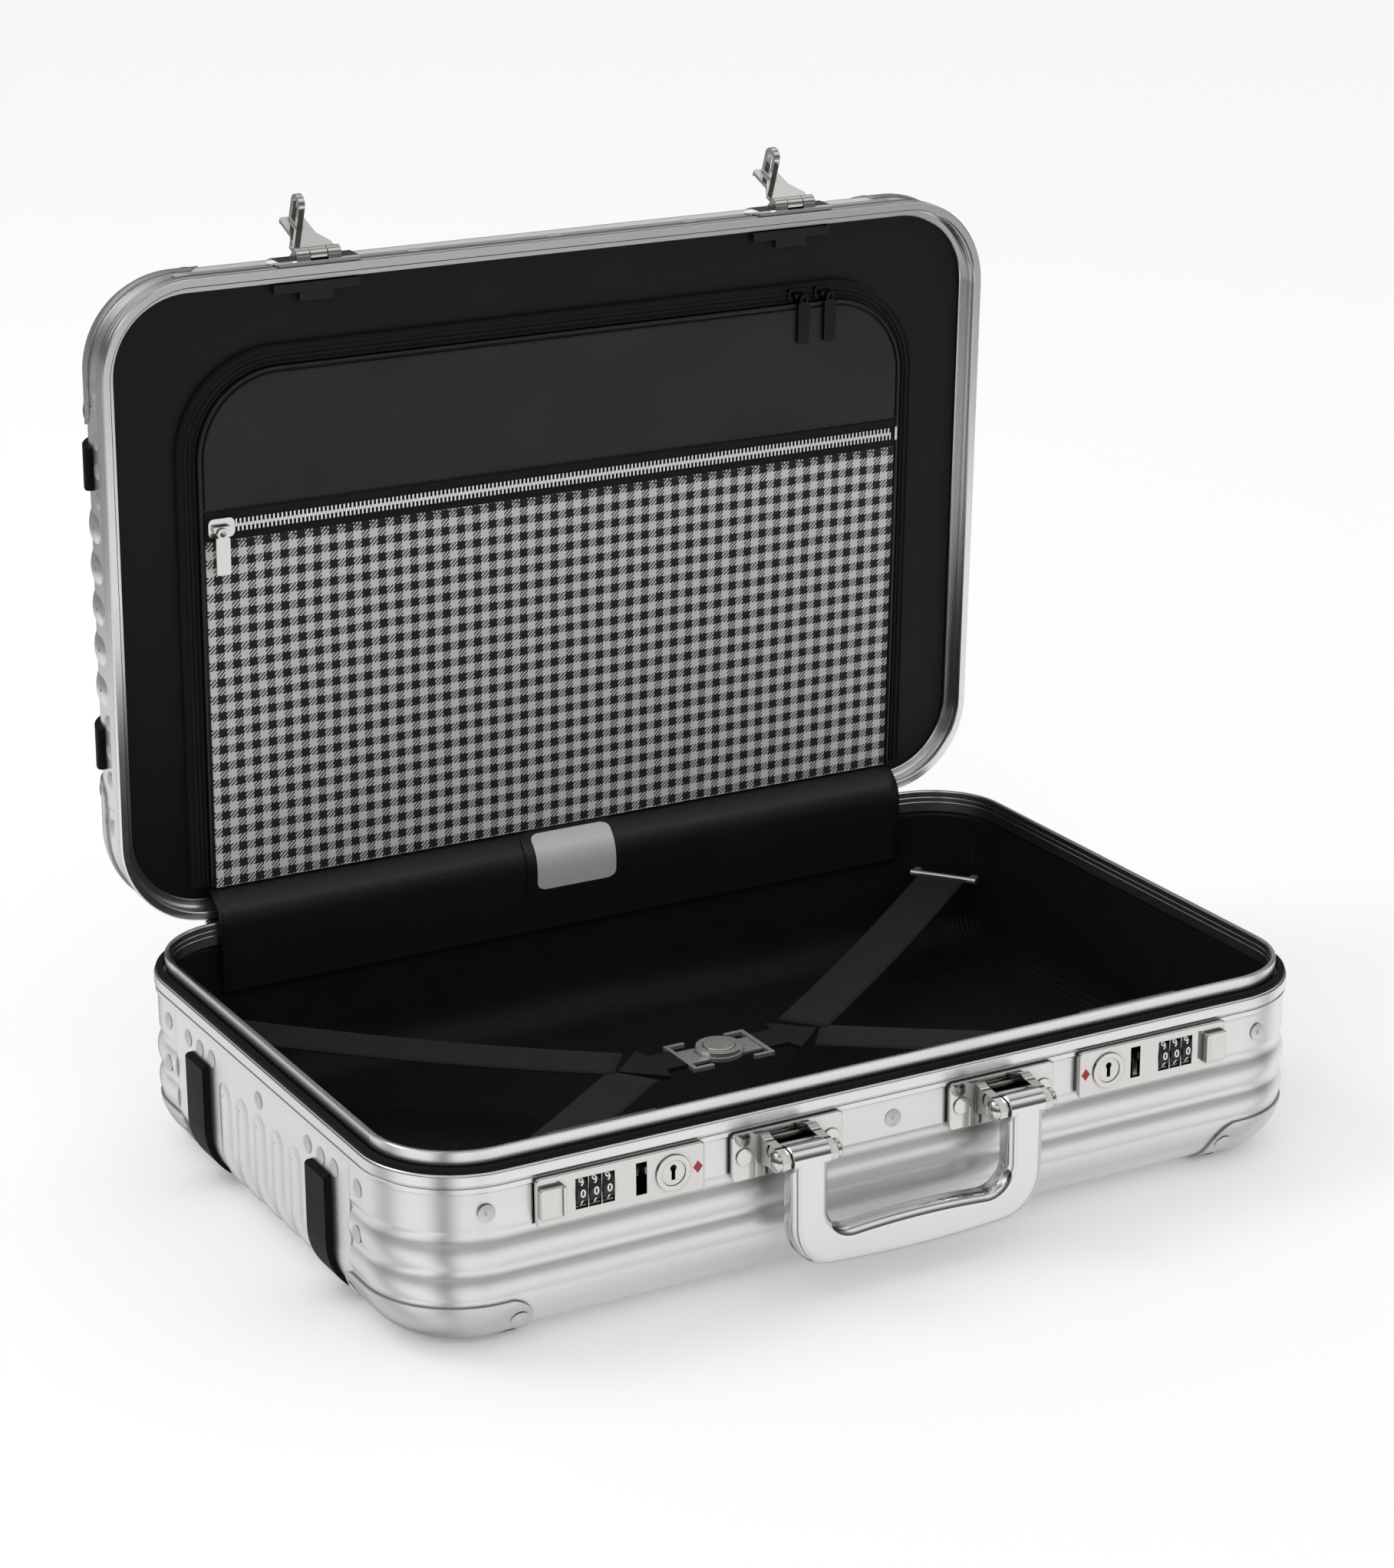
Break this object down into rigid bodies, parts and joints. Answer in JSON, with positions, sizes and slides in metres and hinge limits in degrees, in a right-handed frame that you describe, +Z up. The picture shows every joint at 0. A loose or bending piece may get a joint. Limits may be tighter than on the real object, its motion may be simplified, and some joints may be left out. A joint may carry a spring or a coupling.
{
  "type": "attache case",
  "caption": "Ribbed aluminium attache case standing with its lid open, with two combination locks, a drop handle, a lined base with cross straps and a zipped lid pocket.",
  "frame": {"origin": "centre of the case's bottom on the ground plane", "axes": "+Z up, -Y towards the front wall with the locks and the handle, +X to the right seen from the front"},
  "size_m": [0.4744, 0.3789, 0.4333],
  "materials": {
    "aluminium_sheet": "brushed",
    "aluminium_frame": "satin",
    "nickel": "satin",
    "bright_chrome": "polished",
    "steel_parts": "satin",
    "black_rubber": "matte",
    "lining_fabric": "woven",
    "webbing": "woven",
    "black_leather": "grained",
    "houndstooth": "woven pattern",
    "black_plastic": "matte",
    "zipper_metal": "satin",
    "dial_plastic": "satin",
    "coil_tape": "ribbed",
    "black_paint": "satin",
    "strap_leather": "grained"
  },
  "bodies": {
    "base": {"base_shell": "aluminium_sheet", "base_front_band": "aluminium_sheet", "base_back_band": "aluminium_sheet", "base_corner_caps": "nickel", "base_frame": "aluminium_frame", "base_seal": "black_rubber", "base_rivets": "aluminium_frame", "base_straps": "strap_leather", "base_lining": "lining_fabric", "lock_plates": "nickel", "lock_housings": "black_plastic", "dial_axles": "steel_parts", "handle_brackets": "nickel", "handle_pins": "nickel", "hinge_base_leaf": "steel_parts", "hinge_pin": "steel_parts", "cross_straps": "webbing", "strap_tabs": "black_leather", "strap_anchors": "steel_parts", "buckle_frame": "black_paint", "hinge_flap": "black_leather"},
    "lid": {"lid_shell": "aluminium_sheet", "lid_front_band": "aluminium_sheet", "lid_back_band": "aluminium_sheet", "lid_corner_caps": "nickel", "lid_frame": "aluminium_frame", "lid_rivets": "aluminium_frame", "lid_straps": "strap_leather", "lid_lining": "lining_fabric", "hinge_lid_leaf": "steel_parts", "hasp_brackets": "nickel", "hasp_pins": "steel_parts", "catch_covers": "black_plastic", "pocket_panel": "black_leather", "houndstooth_panel": "houndstooth", "zipper_chain": "zipper_metal", "coil_zipper": "coil_tape"},
    "hasp_left": {"hasp_left": "nickel"},
    "hasp_right": {"hasp_right": "nickel"},
    "handle": {"handle": "bright_chrome"},
    "slider_left": {"slider_button_left": "nickel", "latch_bolt_left": "steel_parts"},
    "key_left": {"key_cylinder_left": "nickel"},
    "dial_left_1": {"dial_left_1": "dial_plastic"},
    "dial_left_2": {"dial_left_2": "dial_plastic"},
    "dial_left_3": {"dial_left_3": "dial_plastic"},
    "slider_right": {"slider_button_right": "nickel", "latch_bolt_right": "steel_parts"},
    "key_right": {"key_cylinder_right": "nickel"},
    "dial_right_1": {"dial_right_1": "dial_plastic"},
    "dial_right_2": {"dial_right_2": "dial_plastic"},
    "dial_right_3": {"dial_right_3": "dial_plastic"},
    "zipper_slider": {"zipper_slider": "zipper_metal"},
    "zipper_pull": {"zipper_pull": "zipper_metal"},
    "coil_slider_1": {"coil_slider_1": "black_paint"},
    "coil_pull_1": {"coil_pull_1": "black_paint"},
    "coil_slider_2": {"coil_slider_2": "black_paint"},
    "coil_pull_2": {"coil_pull_2": "black_paint"},
    "buckle_button": {"buckle_button": "black_plastic"}
  },
  "joints": [
    {"name": "lid_hinge", "type": "hinge", "parent": "base", "child": "lid", "pos_m": [0, 0.1582, 0.0905], "axis": [-1, 0, 0], "range_deg": [-88, 0]},
    {"name": "hasp_left_hinge", "type": "hinge", "parent": "lid", "child": "hasp_left", "pos_m": [-0.1265, 0.14959, 0.40879], "axis": [-1, 0, 0], "range_deg": [-160.6, 5]},
    {"name": "hasp_right_hinge", "type": "hinge", "parent": "lid", "child": "hasp_right", "pos_m": [0.1265, 0.14959, 0.40879], "axis": [-1, 0, 0], "range_deg": [-160.6, 5]},
    {"name": "handle_hinge", "type": "hinge", "parent": "base", "child": "handle", "pos_m": [0, -0.173, 0.068], "axis": [-1, 0, 0], "range_deg": [0, 100]},
    {"name": "slider_left_slide", "type": "slide", "parent": "base", "child": "slider_left", "axis": [-1, 0, 0], "range_m": [0, 0.0042]},
    {"name": "key_left_turn", "type": "hinge", "parent": "base", "child": "key_left", "pos_m": [-0.1115, -0.152, 0.067], "axis": [0, -1, 0], "range_deg": [0, 90]},
    {"name": "dial_left_1_spin", "type": "hinge", "parent": "base", "child": "dial_left_1", "pos_m": [-0.1422, -0.1514, 0.0674], "axis": [1, 0, 0], "continuous": true},
    {"name": "dial_left_2_spin", "type": "hinge", "parent": "base", "child": "dial_left_2", "pos_m": [-0.1485, -0.1514, 0.0674], "axis": [1, 0, 0], "continuous": true},
    {"name": "dial_left_3_spin", "type": "hinge", "parent": "base", "child": "dial_left_3", "pos_m": [-0.1548, -0.1514, 0.0674], "axis": [1, 0, 0], "continuous": true},
    {"name": "slider_right_slide", "type": "slide", "parent": "base", "child": "slider_right", "axis": [1, 0, 0], "range_m": [0, 0.0042]},
    {"name": "key_right_turn", "type": "hinge", "parent": "base", "child": "key_right", "pos_m": [0.1115, -0.152, 0.067], "axis": [0, -1, 0], "range_deg": [0, 90]},
    {"name": "dial_right_1_spin", "type": "hinge", "parent": "base", "child": "dial_right_1", "pos_m": [0.1422, -0.1514, 0.0674], "axis": [1, 0, 0], "continuous": true},
    {"name": "dial_right_2_spin", "type": "hinge", "parent": "base", "child": "dial_right_2", "pos_m": [0.1485, -0.1514, 0.0674], "axis": [1, 0, 0], "continuous": true},
    {"name": "dial_right_3_spin", "type": "hinge", "parent": "base", "child": "dial_right_3", "pos_m": [0.1548, -0.1514, 0.0674], "axis": [1, 0, 0], "continuous": true},
    {"name": "zipper_slide", "type": "slide", "parent": "lid", "child": "zipper_slider", "axis": [1, 0, 0], "range_m": [0, 0.36]},
    {"name": "zipper_pull_hinge", "type": "hinge", "parent": "zipper_slider", "child": "zipper_pull", "pos_m": [-0.181, 0.14362, 0.28451], "axis": [0, -0.9994, -0.0349], "range_deg": [-35, 60]},
    {"name": "coil_slider_1_slide", "type": "slide", "parent": "lid", "child": "coil_slider_1", "axis": [1, 0, 0], "range_m": [-0.27, 0]},
    {"name": "coil_pull_1_hinge", "type": "hinge", "parent": "coil_slider_1", "child": "coil_pull_1", "pos_m": [0.131, 0.14564, 0.36143], "axis": [0, -0.9994, -0.0349], "range_deg": [-70, 18]},
    {"name": "coil_slider_2_slide", "type": "slide", "parent": "lid", "child": "coil_slider_2", "axis": [1, 0, 0], "range_m": [0, 0.003]},
    {"name": "coil_pull_2_hinge", "type": "hinge", "parent": "coil_slider_2", "child": "coil_pull_2", "pos_m": [0.146, 0.14564, 0.36143], "axis": [0, -0.9994, -0.0349], "range_deg": [-18, 70]},
    {"name": "buckle_button_press", "type": "slide", "parent": "base", "child": "buckle_button", "axis": [0, 0, -1], "range_m": [0, 0.0012]}
  ]
}
